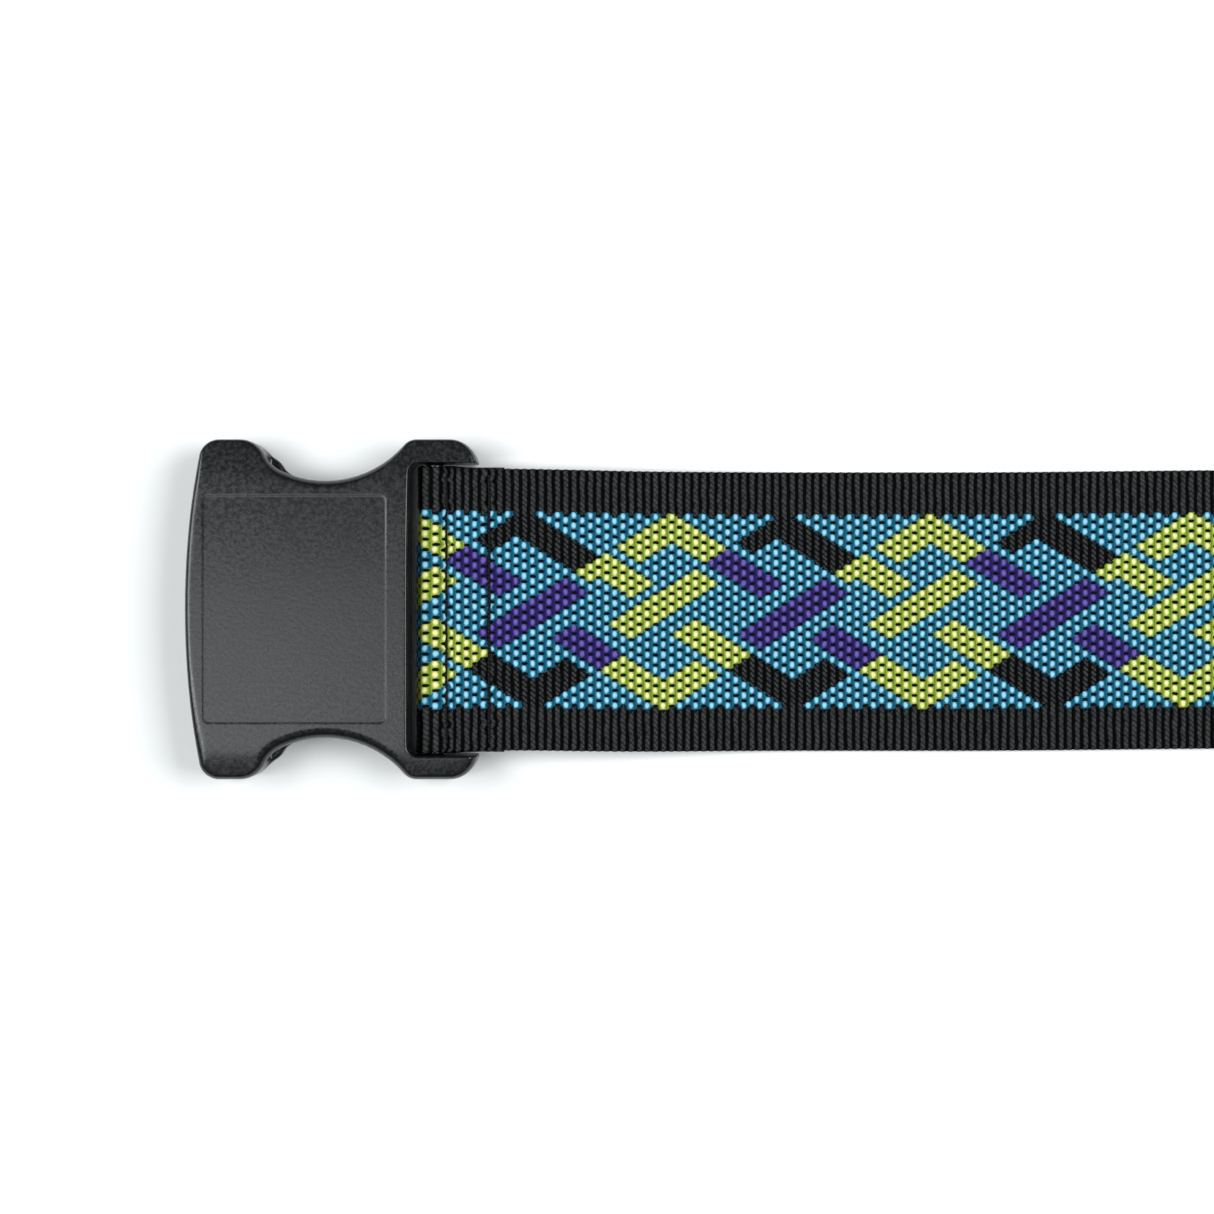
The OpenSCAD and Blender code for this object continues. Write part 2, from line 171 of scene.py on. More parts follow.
# ---------------------------------------------------------------- node helper
class Shader:
    """A material on the Principled shader, with short calls for the nodes that feed it."""

    def __init__(self, name):
        self.material = bpy.data.materials.new(name)
        self.material.use_nodes = True
        self.nodes = self.material.node_tree.nodes
        self.links = self.material.node_tree.links
        self.bsdf = self.nodes["Principled BSDF"]

    def put(self, socket, value):
        if isinstance(value, bpy.types.NodeSocket):
            self.links.new(value, socket)
        elif value is not None:
            socket.default_value = value

    def set(self, name, value):
        self.put(self.bsdf.inputs[name], value)

    def math(self, op, a, b=None, c=None):
        n = self.nodes.new("ShaderNodeMath")
        n.operation = op
        for socket, value in zip(n.inputs, (a, b, c)):
            self.put(socket, value)
        return n.outputs[0]

    def span(self, value, a, b, to_a=0.0, to_b=1.0):
        """The value, eased from to_a at a to to_b at b."""
        n = self.nodes.new("ShaderNodeMapRange")
        n.interpolation_type = "SMOOTHSTEP"
        self.put(n.inputs["Value"], value)
        n.inputs["From Min"].default_value = a
        n.inputs["From Max"].default_value = b
        n.inputs["To Min"].default_value = to_a
        n.inputs["To Max"].default_value = to_b
        return n.outputs["Result"]

    def mix(self, factor, a, b):
        n = self.nodes.new("ShaderNodeMix")
        n.data_type = "RGBA"
        self.put(n.inputs[0], factor)
        self.put(n.inputs[6], a)
        self.put(n.inputs[7], b)
        return n.outputs[2]

    def blend(self, factor, a, b):
        n = self.nodes.new("ShaderNodeMix")
        n.data_type = "FLOAT"
        self.put(n.inputs[0], factor)
        self.put(n.inputs[2], a)
        self.put(n.inputs[3], b)
        return n.outputs[0]

    def attribute(self, name, output="Vector"):
        n = self.nodes.new("ShaderNodeAttribute")
        n.attribute_name = name
        return n.outputs[output]

    def split(self, vector):
        n = self.nodes.new("ShaderNodeSeparateXYZ")
        self.put(n.inputs[0], vector)
        return n.outputs[0], n.outputs[1], n.outputs[2]

    def join(self, x, y, z):
        n = self.nodes.new("ShaderNodeCombineXYZ")
        for socket, value in zip(n.inputs, (x, y, z)):
            self.put(socket, value)
        return n.outputs[0]

    def place(self):
        return self.nodes.new("ShaderNodeTexCoord").outputs["Object"]

    def scaled(self, vector, scale):
        n = self.nodes.new("ShaderNodeMapping")
        self.put(n.inputs["Vector"], vector)
        n.inputs["Scale"].default_value = scale
        return n.outputs[0]

    def noise(self, vector, scale, detail=2.0, roughness=0.5):
        n = self.nodes.new("ShaderNodeTexNoise")
        self.put(n.inputs["Vector"], vector)
        n.inputs["Scale"].default_value = scale
        n.inputs["Detail"].default_value = detail
        n.inputs["Roughness"].default_value = roughness
        return n.outputs["Fac"]

    def bump(self, height, distance, strength=1.0, normal=None):
        n = self.nodes.new("ShaderNodeBump")
        self.put(n.inputs["Height"], height)
        n.inputs["Distance"].default_value = distance
        n.inputs["Strength"].default_value = strength
        if normal is not None:
            self.put(n.inputs["Normal"], normal)
        return n.outputs["Normal"]

    def bright(self, colour, value):
        n = self.nodes.new("ShaderNodeHueSaturation")
        self.put(n.inputs["Color"], colour)
        self.put(n.inputs["Value"], value)
        return n.outputs[0]


def linear(hexa):
    """A colour written as on screen, as the shader takes it."""
    c = np.array([int(hexa[i:i + 2], 16) / 255 for i in (1, 3, 5)])
    c = np.where(c <= 0.04045, c / 12.92, ((c + 0.055) / 1.055) ** 2.4)
    return (float(c[0]), float(c[1]), float(c[2]), 1.0)


# ---------------------------------------------------------------- materials
def plastic_material():
    """Satin moulded plastic: fine mottled grain on the faces, smoother round the edges, with painted shade on every
    surface that doesn't face up or down.
    """
    s = Shader("buckle_plastic")
    at = s.place()
    edge = s.attribute("edge", "Fac")
    mottle = s.noise(at, 1500, 2.0, 0.6)
    fine = s.noise(at, 5200, 2.0, 0.6)
    broad = s.noise(at, 60, 2.0, 0.5)
    grain = s.math("ADD", s.math("MULTIPLY", mottle, 0.72), s.math("MULTIPLY", fine, 0.28))
    face = s.mix(s.span(grain, 0.36, 0.64), linear("#0e0e0f"), linear("#262728"))
    face = s.mix(s.span(broad, 0.35, 0.65, 0.0, 0.35), face, linear("#131414"))
    # painted shade: surfaces that don't face up or down are darkened, as if turned away from the light above
    face = s.mix(s.span(edge, 0.0, 0.4), face, linear("#080909"))
    # pale rub marks along the most exposed edges
    rub = s.noise(at, 420, 5.0, 0.7)
    worn = s.math("MULTIPLY", s.span(rub, 0.62, 0.74), s.span(edge, 0.25, 0.9))
    face = s.mix(s.math("MULTIPLY", worn, 0.25), face, linear("#4a4b4b"))
    s.set("Base Color", face)
    rough = s.blend(s.span(grain, 0.36, 0.64), 0.19, 0.30)
    rough = s.blend(edge, rough, 0.28)
    s.set("Roughness", rough)
    s.set("Specular IOR Level", 0.5)
    height = s.blend(edge, grain, 0.5)
    s.set("Normal", s.bump(height, 0.00005, 0.5))
    return s.material


def webbing_material():
    """Ribbed jacquard webbing.

    'weave' holds rib number, half step and side, 'yarn' the yarn's colour as on the shaded sides of its dots,
    'painted_highlight' the painted highlight on them, and 'plain' marks black yarn.
    """
    s = Shader("webbing")
    rib, step, side = s.split(s.attribute("weave"))
    yarn_dark = s.attribute("yarn", "Color")
    yarn_highlight = s.attribute("painted_highlight", "Color")
    mm = s.join(s.math("MULTIPLY", rib, RIB), s.math("MULTIPLY", step, STEP), side)

    # each yarn wanders a little
    wander = s.math("MULTIPLY", s.math("SUBTRACT", s.noise(mm, 0.55, 2.0), 0.5), 0.30)
    rib_w = s.math("ADD", rib, wander)
    drift = s.math("MULTIPLY", s.math("SUBTRACT", s.noise(mm, 0.8, 1.0), 0.5), 0.25)
    step_w = s.math("ADD", step, drift)

    def wave(value, turns, shift=0.0):
        return s.math("COSINE", s.math("MULTIPLY_ADD", value, turns * pi, shift * pi))

    # a dot is a short upright length of yarn, rounded from side to side, and the next one follows after a dark hole
    turn = wave(rib_w, 1)
    ridge = s.math("ABSOLUTE", turn)
    broad = s.math("MULTIPLY", s.math("SIGN", turn), s.math("POWER", ridge, 0.7))
    dot = s.math("MULTIPLY", broad, wave(step_w, 1))
    crown = s.math("ABSOLUTE", wave(rib_w, 1, 0.07))
    lit = s.math("MULTIPLY", turn, wave(step_w, 1, 0.10))
    breaks = wave(s.math("MULTIPLY_ADD", s.math("FRACT", rib_w), -0.8, step_w), 2)
    plain = s.span(s.attribute("plain", "Fac"), 0.3, 0.7)
    front = s.span(side, -0.2, 0.2)

    # front: bright dots with small dark holes; back: dark dots with flecks of the front's colours between them
    cover_front = s.span(dot, -0.68, -0.32)
    cover_back = s.span(dot, -0.25, -0.60)
    cover = s.blend(front, cover_back, cover_front)
    # painted highlight: each dot is lightened a little off its middle, from the yarn's colour to its highlight
    # colour; the back's flecks get half as much
    glint_front = s.span(s.math("MULTIPLY_ADD", lit, 0.3, crown), 0.66, 1.22)
    # painted shade between the columns of dots, on the front
    shade = s.span(crown, 0.0, 0.55, 0.5, 1.0)
    glint = s.blend(front, s.math("MULTIPLY", s.span(dot, -0.5, -0.95), 0.5), glint_front)
    pattern = s.bright(s.mix(glint, yarn_dark, yarn_highlight), s.blend(front, 0.7, shade))
    pattern = s.mix(cover, linear("#0c0c0e"), pattern)

    # black ribs, broken up a little in the borders and more within the patterned band, with painted light on the
    # ridges and painted shade in the grooves and at the breaks
    inside = s.span(s.math("ABSOLUTE", s.math("ADD", step, 0.5)), BAND + 0.2, BAND - 0.8)
    broken = s.blend(inside, s.span(breaks, -1.0, 0.4, 0.38, 1.0), s.span(breaks, -0.9, 0.6, 0.12, 1.0))
    uneven = s.span(s.noise(mm, 1.1, 2.0, 0.6), 0.3, 0.7, 0.6, 1.2)
    rib_light_and_shade = s.math("MULTIPLY", s.math("MULTIPLY", s.span(ridge, 0.42, 0.98), broken), uneven)
    black_yarn = s.mix(rib_light_and_shade, linear("#020202"), linear("#404042"))
    colour = s.mix(plain, pattern, black_yarn)

    # filaments, and small differences from yarn to yarn
    filament = s.noise(s.scaled(mm, (9.0, 1.6, 1.0)), 1.0, 3.0, 0.6)
    patchy = s.noise(mm, 0.35, 3.0, 0.6)
    colour = s.bright(colour, s.blend(filament, 0.80, 1.20))
    colour = s.bright(colour, s.blend(patchy, 0.86, 1.14))
    s.set("Base Color", colour)

    s.set("Roughness", s.blend(s.span(filament, 0.3, 0.7), 0.40, 0.60))
    s.set("Specular IOR Level", 0.02)
    black_height = s.math("MULTIPLY", ridge, s.span(breaks, -1.2, 0.8, 0.75, 1.0))
    height = s.blend(plain, s.span(dot, -0.9, 0.9), black_height)
    yarns = s.bump(height, 0.00030, 0.7)
    s.set("Normal", s.bump(filament, 0.00006, 0.6, yarns))
    return s.material


def thread_material():
    """Black bonded sewing thread: twisted plies."""
    s = Shader("thread")
    along, round_it, _ = s.split(s.attribute("weave"))
    twist = s.math("ADD", s.math("MULTIPLY", along, 1.4), round_it)
    ply = s.math("SINE", s.math("MULTIPLY", twist, 2 * pi))
    fuzz = s.noise(s.place(), 7000, 3.0, 0.7)
    # painted light and shade: lighter along the crest of each ply and darker between the plies
    colour = s.mix(s.span(ply, -0.8, 0.8), linear("#050506"), linear("#19191a"))
    s.set("Base Color", s.bright(colour, s.blend(fuzz, 0.75, 1.25)))
    s.set("Roughness", s.blend(fuzz, 0.42, 0.62))
    s.set("Specular IOR Level", 0.12)
    s.set("Normal", s.bump(s.math("ADD", ply, fuzz), 0.00005, 0.7))
    return s.material


PLASTIC = plastic_material()
WEBBING = webbing_material()
THREAD = thread_material()


# ---------------------------------------------------------------- mesh helpers
def mesh_object(name, verts, faces, material):
    """A smooth object from vertices in mm and faces that all have the same number of corners."""
    me = bpy.data.meshes.new(name)
    me.vertices.add(len(verts))
    me.vertices.foreach_set("co", (np.asarray(verts, float) * MM).ravel())
    faces = np.asarray(faces)
    me.loops.add(faces.size)
    me.loops.foreach_set("vertex_index", faces.ravel())
    me.polygons.add(len(faces))
    me.polygons.foreach_set("loop_start", np.arange(len(faces)) * faces.shape[1])
    me.polygons.foreach_set("loop_total", np.full(len(faces), faces.shape[1]))
    me.update(calc_edges=True)
    me.validate()
    me.polygons.foreach_set("use_smooth", np.full(len(me.polygons), True))
    return in_scene(name, me, material)


ATTRIBUTE_FIELD = {"FLOAT": "value", "FLOAT_VECTOR": "vector", "FLOAT_COLOR": "color"}


def point_attribute(o, name, kind, values):
    a = o.data.attributes.new(name, kind, "POINT")
    a.data.foreach_set(ATTRIBUTE_FIELD[kind], np.asarray(values, np.float32).ravel())


# ---------------------------------------------------------------- solids from distance functions
def arc(centre, r, start, end, steps=12):
    a = np.radians(np.linspace(start, end, steps + 1))
    return [(centre[0] + r * cos(t), centre[1] + r * sin(t)) for t in a]


def polygon_distance(x, y, poly):
    """Signed distance to a closed polygon, negative inside."""
    px, py = x.ravel(), y.ravel()
    best = np.full(px.shape, 1e9)
    inside = np.zeros(px.shape, bool)
    for (x0, y0), (x1, y1) in zip(poly, poly[1:] + poly[:1]):
        ex, ey = x1 - x0, y1 - y0
        long = ex * ex + ey * ey
        if long < 1e-12:
            continue
        wx, wy = px - x0, py - y0
        t = np.clip((wx * ex + wy * ey) / long, 0, 1)
        np.minimum(best, (wx - t * ex) ** 2 + (wy - t * ey) ** 2, out=best)
        if y0 != y1:
            inside ^= ((y0 > py) != (y1 > py)) & (px < ex * (py - y0) / ey + x0)
    return (np.where(inside, -1, 1) * np.sqrt(best)).reshape(x.shape)


def smax(a, b, k):
    """The larger of two distances, with the corner between them rounded over k."""
    h = np.maximum(k - np.abs(a - b), 0) / k
    return np.maximum(a, b) + h * h * k / 4


def smin(a, b, k):
    return -smax(-a, -b, k)


def slab(d2, z, low, high, r):
    """A flat shape d2 made solid from low to high, with its edges rounded to r."""
    u, w = d2 + r, np.abs(z - (low + high) / 2) - (high - low) / 2 + r
    return np.minimum(np.maximum(u, w), 0) + np.hypot(np.maximum(u, 0), np.maximum(w, 0)) - r


def smooth_step(t):
    """0 up to t = 0, 1 from t = 1 on, and eased between."""
    t = np.clip(t, 0, 1)
    return t * t * (3 - 2 * t)


def graded(lo, hi, base, fine, spots, reach=0.5):
    """Grid places from lo to hi, closer together near the spots."""
    out = [lo]
    while out[-1] < hi:
        gap = min([abs(out[-1] + fine - p) for p in spots] + [1e9])
        out.append(out[-1] + (fine if gap < reach else min(base, fine + 0.5 * (gap - reach))))
    return np.array(out)


def edge_ends(axis):
    """Slices of a grid that give the two ends of each of its edges along an axis."""
    first, second = [slice(None)] * 3, [slice(None)] * 3
    first[axis], second[axis] = slice(0, -1), slice(1, None)
    return tuple(first), tuple(second)


def net_vertices(grid, neg, axes):
    """One vertex in each cell that the surface passes through, and each cell's vertex number."""
    nx, ny, nz = grid.shape
    total = np.zeros((nx - 1, ny - 1, nz - 1, 3))
    count = np.zeros((nx - 1, ny - 1, nz - 1))
    for axis in range(3):
        first, second = edge_ends(axis)
        fa, fb = grid[first], grid[second]
        i, j, k = np.nonzero(neg[first] != neg[second])
        t = fa[i, j, k] / (fa[i, j, k] - fb[i, j, k])
        p = np.stack([axes[0][i], axes[1][j], axes[2][k]], 1)
        c = (i, j, k)[axis]
        p[:, axis] = axes[axis][c] + t * (axes[axis][c + 1] - axes[axis][c])
        u, v = [other for other in range(3) if other != axis]
        for du in (0, -1):
            for dv in (0, -1):
                idx = [i, j, k]
                idx[u] = idx[u] + du
                idx[v] = idx[v] + dv
                flat = np.ravel_multi_index(idx, count.shape)
                n = count.size
                count += np.bincount(flat, minlength=n).reshape(count.shape)
                for q in range(3):
                    total[..., q] += np.bincount(flat, weights=p[:, q], minlength=n).reshape(count.shape)
    used = count > 0
    number = np.full(count.shape, -1)
    number[used] = np.arange(used.sum())
    return total[used] / count[used][:, None], number


def net_quads(neg, number):
    """A quad across each grid edge that the surface cuts."""
    quads = []
    for axis in range(3):
        first, second = edge_ends(axis)
        cross = neg[first] != neg[second]
        ijk = np.nonzero(cross)
        u, v = (axis + 1) % 3, (axis + 2) % 3

        def cell(du, dv):
            idx = list(ijk)
            idx[u] = idx[u] + du
            idx[v] = idx[v] + dv
            return number[tuple(idx)]

        q = np.stack([cell(-1, -1), cell(0, -1), cell(0, 0), cell(-1, 0)], 1)
        outward = neg[first][cross]
        q[~outward] = q[~outward][:, ::-1]
        quads.append(q)
    return np.concatenate(quads)


def skin(distance, xs, ys, zs):
    """Closed quad mesh of the surface where distance is 0 (surface nets), drawn onto the surface."""
    grid = distance(xs[:, None, None], ys[None, :, None], zs[None, None, :])
    neg = grid < 0
    verts, number = net_vertices(grid, neg, (xs, ys, zs))
    quads = net_quads(neg, number)

    def at(p):
        return distance(p[:, 0], p[:, 1], p[:, 2])

    def gradient(p, h):
        g = np.empty_like(p)
        for q in range(3):
            e = np.zeros(3)
            e[q] = h
            g[:, q] = (at(p + e) - at(p - e)) / (2 * h)
        return g

    start = verts.copy()
    for _ in range(3):
        g = gradient(verts, 0.02)
        d = at(verts)
        verts = verts - g * (d / np.maximum((g * g).sum(1), 0.2))[:, None] * 0.9
        verts = start + np.clip(verts - start, -0.3, 0.3)
    g = gradient(verts, 0.12)
    normals = g / np.maximum(np.linalg.norm(g, axis=1, keepdims=True), 1e-6)
    return verts, quads, normals


def solid(name, distance, xs, ys, zs, offset, material):
    """A moulded piece; 'edge' marks the surfaces that don't face up or down."""
    verts, quads, normals = skin(distance, xs, ys, zs)
    o = mesh_object(name, verts + np.array(offset), quads, material)
    o.data.normals_split_custom_set_from_vertices(normals.tolist())
    # 'edge' also sets where the plastic's painted shade falls
    point_attribute(o, "edge", "FLOAT", smooth_step((1 - np.abs(normals[:, 2]) - 0.02) / 0.35))
    return o


# ---------------------------------------------------------------- receptacle, with x from its mouth
FAR = -100.0                       # half outlines run past the middle plane to here
MOUTH_R, CORNER_R, LOBE_R = 152.0, 3.5, 5.0
TOE_TURN = 26.5                    # where the front lobe hands over to the toe's hollow, in degrees


def half_outline():
    """Upper half of the outline: curved mouth, front lobe, finger notch, rear lobe."""
    mouth_r, corner_r, lobe_r = MOUTH_R, CORNER_R, LOBE_R
    corner_y = HALF_W - corner_r
    corner_x = mouth_r - sqrt((mouth_r - corner_r) ** 2 - corner_y ** 2)
    turn = degrees(asin(corner_y / (mouth_r - corner_r)))
    lobe = np.array([9.7, HALF_W - lobe_r])
    notch, notch_r, heel_r = np.array([25.0, HALF_W + 11.2]), 18.6, 3.0
    way = np.array([cos(radians(TOE_TURN)), sin(radians(TOE_TURN))])
    gap = lobe - notch
    reach = ((notch_r + lobe_r) ** 2 - gap @ gap) / (2 * (notch_r + lobe_r + way @ gap))
    toe = lobe + reach * way
    toe_end = degrees(atan2(toe[1] - notch[1], toe[0] - notch[0])) + 360
    heel_out = sqrt((notch_r + heel_r) ** 2 - (notch[1] - HALF_W + heel_r) ** 2)
    heel = np.array([notch[0] + heel_out, HALF_W - heel_r])
    heel_from = degrees(atan2(heel[1] - notch[1], heel[0] - notch[0]))
    length = shell_hi[0] - shell_lo[0]
    return (
        [(0.0, FAR)]
        + arc((mouth_r, 0), mouth_r, 180, 180 - turn, 10)
        + arc((corner_x, corner_y), corner_r, 180 - turn, 90, 9)
        + arc(lobe, lobe_r, 90, TOE_TURN, 9)
        + arc(toe, reach - lobe_r, 180 + TOE_TURN, toe_end, 8)
        + arc(notch, notch_r, toe_end, 360 + heel_from, 14)
        + arc(heel, heel_r, 180 + heel_from, 90, 8)
        + arc((length - lobe_r, HALF_W - lobe_r), lobe_r, 90, 0, 10)
        + [(length, FAR)]
    )


OUTLINE = half_outline()
CAVITY = [
    (-6, FAR), (-6, 24.6), (1.5, 24.6), (14, 22.2),       # mouth and side walls
    (14, 45), (33.3, 45),                                 # finger window
    (33.3, 22.2), (36.5, 22.2), (36.5, FAR),
]
SLOT = [(39.8, FAR)] + arc((41.6, 24.4), 1.8, 180, 90, 8) + [(90, 26.2), (90, FAR)]
WALL = 2.4                         # thickness of the front and back plates
LIP_X, LIP_Y, LIP_OUT, LIP_TOP = 15.9, 26.6, 0.9, 4.0
BAR_R, BAR_END = 1.5, 27.2         # the webbing bar, and how far it reaches into the two arms
SLOT_BEVEL = 0.42
PANEL_X, PANEL_HALF_X, PANEL_HALF_Y = 19.6, 16.3, 20.3


def receptacle_distance(x, y, z):
    flat_x, flat_y = np.broadcast_arrays(x, np.abs(y))
    outline = polygon_distance(flat_x, flat_y, OUTLINE)
    body = slab(outline, z, 0.0, BUCKLE_T, 1.1 + 1.1 * smooth_step((x - 0.5) / 4.0))
    # the back plate stands a little further out at the front of each finger notch
    lip = LIP_OUT * np.exp(-((x - LIP_X) ** 2 + (np.abs(y) - LIP_Y) ** 2) / 3.6)
    body = smin(body, slab(outline - lip, z, 0.0, LIP_TOP, 1.0), 0.15)
    hollow = slab(polygon_distance(flat_x, flat_y, CAVITY), z, WALL, BUCKLE_T - WALL, 0.6)
    body = smax(body, -hollow, 0.7)
    slot = polygon_distance(flat_x, flat_y, SLOT)
    body = smax(body, -slot, 0.25)
    bevel = np.minimum(slot + (BUCKLE_T - z) - SLOT_BEVEL, slot + z - SLOT_BEVEL) / sqrt(2)
    body = smax(body, -bevel, 0.12)
    # shallow panel in the front face
    panel = smax(np.abs(x - PANEL_X) - PANEL_HALF_X, np.abs(y) - PANEL_HALF_Y, 1.2)
    sunk = 0.07 * smooth_step(0.5 - panel / 0.45)
    # the face falls away a little towards +Y, and on both sides along the outer edges
    crown = 0.34 * (np.maximum(y, 0) / 25.0) ** 2
    crown = crown + 0.7 * (np.maximum(np.abs(y) - 22.5, 0) / 7.9) ** 2
    body = smax(body, z - BUCKLE_T + sunk + crown, 0.15)
    bar = np.hypot(x - (BAR_X - MOUTH_X), z - BAR_Z) - BAR_R
    bar = np.maximum(bar, np.abs(y) - BAR_END)
    return smin(body, bar + 0 * body, 0.5)


def build_receptacle():
    length = shell_hi[0] - shell_lo[0]
    # closer together at the panel's edges, the slot's walls and the plates
    xs = graded(-0.9, length + 0.9, 0.46, 0.14, [0.2, 3.3, 35.9, 39.8])
    half = graded(0.0, HALF_W + 0.9, 0.46, 0.14, [20.3, 26.2])
    ys = np.concatenate([-half[:0:-1], half])
    zs = graded(-0.6, BUCKLE_T + 0.6, 0.42, 0.16, [0.1, 2.4, 9.6, BUCKLE_T - 0.1], 0.3)
    o = solid("receptacle_body", receptacle_distance, xs, ys, zs, (MOUTH_X, 0, 0), PLASTIC)
    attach(o, "receptacle")
    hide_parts("receptacle")


# ---------------------------------------------------------------- plug
# x is measured from its middle bar and z from its underside
PLUG_REAR, PLUG_SHOULDER = -13.8, 22.0
PLUG_T, PLUG_REAR_T = 12.0, 8.2    # thickness of the block, and of the sides at the rear
MIDDLE_BAR = (0.0, 3.38, 1.9)      # x, z and radius of the two cross bars
REAR_BAR = (-10.0, 5.1, 1.7)
BAR_REACH = 27.5                   # they end inside the plug's sides


def plug_outline():
    """Upper half of the block; its shoulder follows the receptacle's mouth."""
    corner_r, mouth_r, lobe_r, shoulder = CORNER_R, MOUTH_R, LOBE_R, PLUG_SHOULDER
    corner_y = HALF_W - corner_r
    centre = shoulder - mouth_r
    corner_x = centre + sqrt((mouth_r + corner_r) ** 2 - corner_y ** 2) - 2 * corner_r
    turn = degrees(asin(corner_y / mouth_r))
    return (
        [(PLUG_REAR, FAR)]
        + arc((lobe_r + PLUG_REAR, HALF_W - lobe_r), lobe_r, 180, 90, 9)
        + arc((corner_x, corner_y), corner_r, 90, 0, 8)
        + arc((centre, 0), mouth_r, turn * 0.93, 0, 10)
        + [(shoulder, FAR)]
    )


PLUG_OUTLINE = plug_outline()
PLUG_SLOT = [(-60, FAR), (-60, 26.2), (6.4, 26.2)] + arc((6.4, 24.6), 1.6, 90, 0, 6) + [(8.0, FAR)]
GUIDE = [(10, FAR), (10, 6)] + arc((46, 0), 6, 90, 0, 10) + [(52, FAR)]
TONGUE_LOW, TONGUE_HIGH = 2.7, 9.3  # bottom and top of the guide and of the latch arms


def cross_bar(x, y, z, bar):
    bar_x, bar_z, r = bar
    return np.maximum(np.hypot(x - bar_x, z - bar_z) - r, np.abs(y) - BAR_REACH)


def plug_distance(x, y, z):
    flat_x, flat_y = np.broadcast_arrays(x, np.abs(y))
    body = slab(polygon_distance(flat_x, flat_y, PLUG_OUTLINE), z, 0.0, PLUG_T, 2.2)
    top = PLUG_REAR_T + 3.8 * smooth_step((x - 1.5) / 7.0)
    body = smax(body, (z - top) * 0.86, 1.6)
    slot = polygon_distance(flat_x, flat_y, PLUG_SLOT)
    body = smax(body, -slot, 0.35)
    guide = slab(polygon_distance(flat_x, flat_y, GUIDE), z, TONGUE_LOW, TONGUE_HIGH, 0.9)
    body = smin(body, guide, 0.9)
    for bar in (MIDDLE_BAR, REAR_BAR):
        body = smin(body, cross_bar(x, y, z, bar) + 0 * body, 0.5)
    return body


def build_plug():
    xs = graded(-14.6, 52.9, 0.50, 0.18, [8.0, 21.0])
    half = graded(0.0, HALF_W + 0.9, 0.50, 0.18, [26.2])
    ys = np.concatenate([-half[:0:-1], half])
    zs = graded(-0.6, 12.6, 0.42, 0.2, [0.2, 11.8], 0.3)
    o = solid("plug_body", plug_distance, xs, ys, zs, (PLUG_X, 0, TOP_Z), PLASTIC)
    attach(o, "plug")
    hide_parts("plug_frame")


ARM = (
    [(14.0, 19.4), (19.0, 20.0), (30.2, 21.6), (36.2, 21.6)]
    + arc((37.0, 24.0), 0.8, 180, 90, 4)
    + [(42.2, 25.1)]
    + arc((47.0, 17.3), 6.5, 75, 0, 8)
    + arc((51.0, 15.5), 2.5, 0, -90, 6)
    + [(38.2, 14.0), (19.0, 14.8), (14.0, 15.4)]
)
ARM_ROOT = [(14, 13.2), (21.4, 13.2), (21.4, 21.6), (14, 21.6)]


def build_arm(side, name, node):
    def distance(x, y, z):
        flat_x, flat_y = np.broadcast_arrays(x, y * side)
        arm = slab(polygon_distance(flat_x, flat_y, ARM), z, TONGUE_LOW, TONGUE_HIGH, 0.8)
        root = slab(polygon_distance(flat_x, flat_y, ARM_ROOT), z, TONGUE_LOW, TONGUE_HIGH, 0.8)
        # the shank meets the shoulder in a fillet
        return smin(arm, root, 1.6)

    xs = graded(13.2, 54.4, 0.36, 0.18, [36.2])
    ys = graded(12.2, 26.0, 0.36, 0.2, [])
    if side < 0:
        ys = -ys[::-1]
    zs = graded(2.1, 9.9, 0.34, 0.2, [2.8, 9.2], 0.3)
    o = solid(name, distance, xs, ys, zs, (PLUG_X, 0, TOP_Z), PLASTIC)
    # moulded in one with the block, and springing from just in front of it
    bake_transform(o)
    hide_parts(node)


# ---------------------------------------------------------------- the webbing's centreline in the XZ plane
class Path:
    """A line drawn by moving forward and turning, in mm. The front of the webbing is on its left."""

    def __init__(self, x, z, heading):
        self.x, self.z, self.h = x, z, radians(heading)
        self.points = [(x, z)]
        self.marks = {}

    def length(self):
        p = np.array(self.points)
        return float(np.hypot(*np.diff(p, axis=0).T).sum())

    def mark(self, name):
        self.marks[name] = self.length()
        return self

    def line(self, long):
        n = max(1, int(long / 0.5))
        for k in range(1, n + 1):
            self.points.append((self.x + cos(self.h) * long * k / n, self.z + sin(self.h) * long * k / n))
        self.x, self.z = self.points[-1]
        return self

    def turn(self, r, angle):
        """Left for a positive angle."""
        a, way = radians(abs(angle)), (1 if angle > 0 else -1)
        cx, cz = self.x - way * r * sin(self.h), self.z + way * r * cos(self.h)
        n = max(2, int(abs(angle) / 2))
        for k in range(1, n + 1):
            t = self.h + way * a * k / n
            self.points.append((cx + way * r * sin(t), cz - way * r * cos(t)))
        self.x, self.z = self.points[-1]
        self.h += way * a
        return self

    def fall(self, long, to_z):
        """A soft slope down to another height."""
        x0, z0 = self.x, self.z
        n = int(long / 0.5)
        for k in range(1, n + 1):
            u = k / n
            self.points.append((x0 + long * u, to_z + (z0 - to_z) * (1 + cos(pi * u)) / 2))
        self.x, self.z = self.points[-1]
        return self


HALF_T = STRAP_T / 2
LOOP_IN = 1.58                            # inside radius of the loop round the receptacle's bar
APEX = degrees(acos(LOOP_IN / 2.9))       # slope of the loop where its two sides meet, from upright
SLOPE = 90 - APEX
LOOP_R = LOOP_IN + HALF_T
LAYER = 1.98                              # pitch of the layers in the roll
FALL_LONG = 57.5                          # length in X of the slope from the buckle down to the table
BEFORE_ROLL = 9.0                         # the strap passes under the roll's end from here on
BEFORE_LIFT = 2.0                         # the piece that bends starts this far before the hinge
PLUG_LOOP_IN = 1.98                       # inside radius of the loop round the plug's middle bar
FIRST_RIB_X = 36.62                       # rib 0 of the pattern would lie here if the slope were flat


